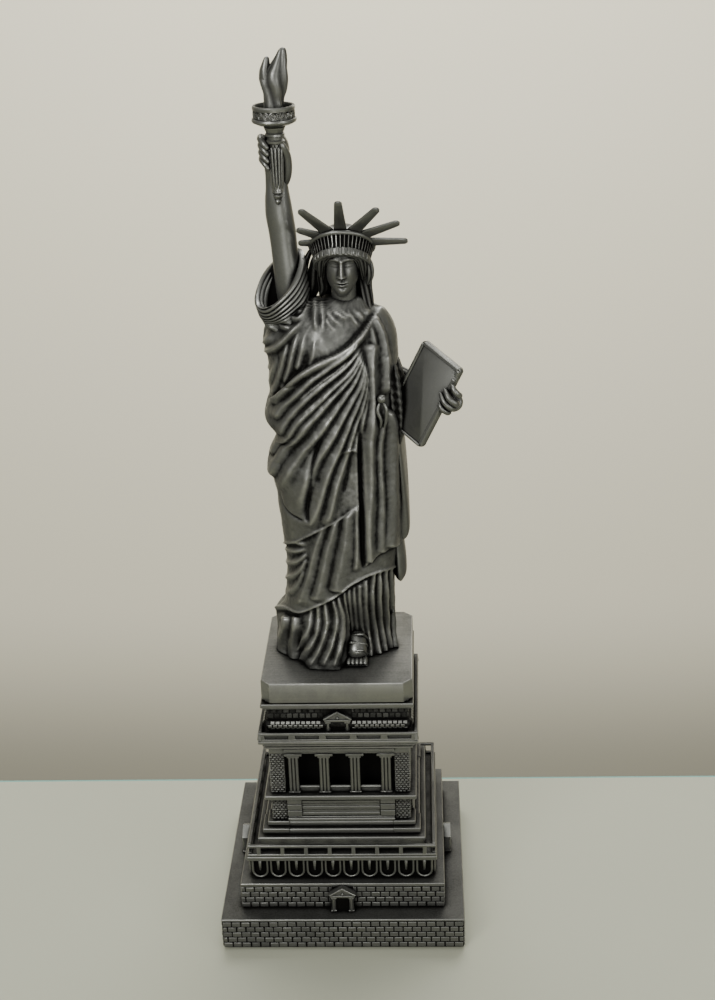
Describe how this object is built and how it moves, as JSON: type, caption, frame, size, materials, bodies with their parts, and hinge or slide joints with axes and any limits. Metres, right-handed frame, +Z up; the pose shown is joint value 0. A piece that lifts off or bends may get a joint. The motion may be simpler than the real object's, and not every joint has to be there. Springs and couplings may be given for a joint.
{
  "type": "miniature landmark model",
  "caption": "Cast-metal desk model of a robed figure with a raised torch, a tablet and a rayed crown, on a square stepped pedestal with colonnades and railings.",
  "frame": {"origin": "centre of the underside of the felt pad", "axes": "+Z up through the pedestal, -Y to the front that the figure faces, +X to the side of the tablet"},
  "size_m": [0.0888, 0.088, 0.3132],
  "materials": {
    "antique_pewter": "antique pewter plating on cast zinc alloy, dark in the recesses and rubbed bright on the ridges",
    "brushed_pewter": "antique pewter plating, brushed on flat faces",
    "zinc_plated_steel": "zinc-plated steel",
    "felt": "black self-adhesive felt"
  },
  "bodies": {
    "root": {"felt_pad": "felt", "base_plinth": "antique_pewter", "fort_block": "antique_pewter", "fort_porticos": "antique_pewter", "shield_terrace": "antique_pewter", "shields": "antique_pewter", "terrace_railing": "antique_pewter", "podium_block": "antique_pewter", "loggia_block": "antique_pewter", "loggia_columns": "antique_pewter", "balcony_slab": "brushed_pewter", "balcony_railing": "antique_pewter", "attic_block": "antique_pewter", "attic_porticos": "antique_pewter", "figure_plinth": "brushed_pewter", "figure_robe": "antique_pewter", "mantle_tail": "antique_pewter", "shoulder_sleeve": "antique_pewter", "raised_arm": "antique_pewter", "torch_handle": "antique_pewter", "torch_gallery": "antique_pewter", "torch_flame": "antique_pewter", "head": "antique_pewter", "diadem": "antique_pewter", "crown_rays": "antique_pewter", "tablet_arm": "antique_pewter", "tablet": "antique_pewter", "tie_rod": "zinc_plated_steel", "spread_washer": "zinc_plated_steel", "hex_nut": "zinc_plated_steel"}
  },
  "joints": []
}
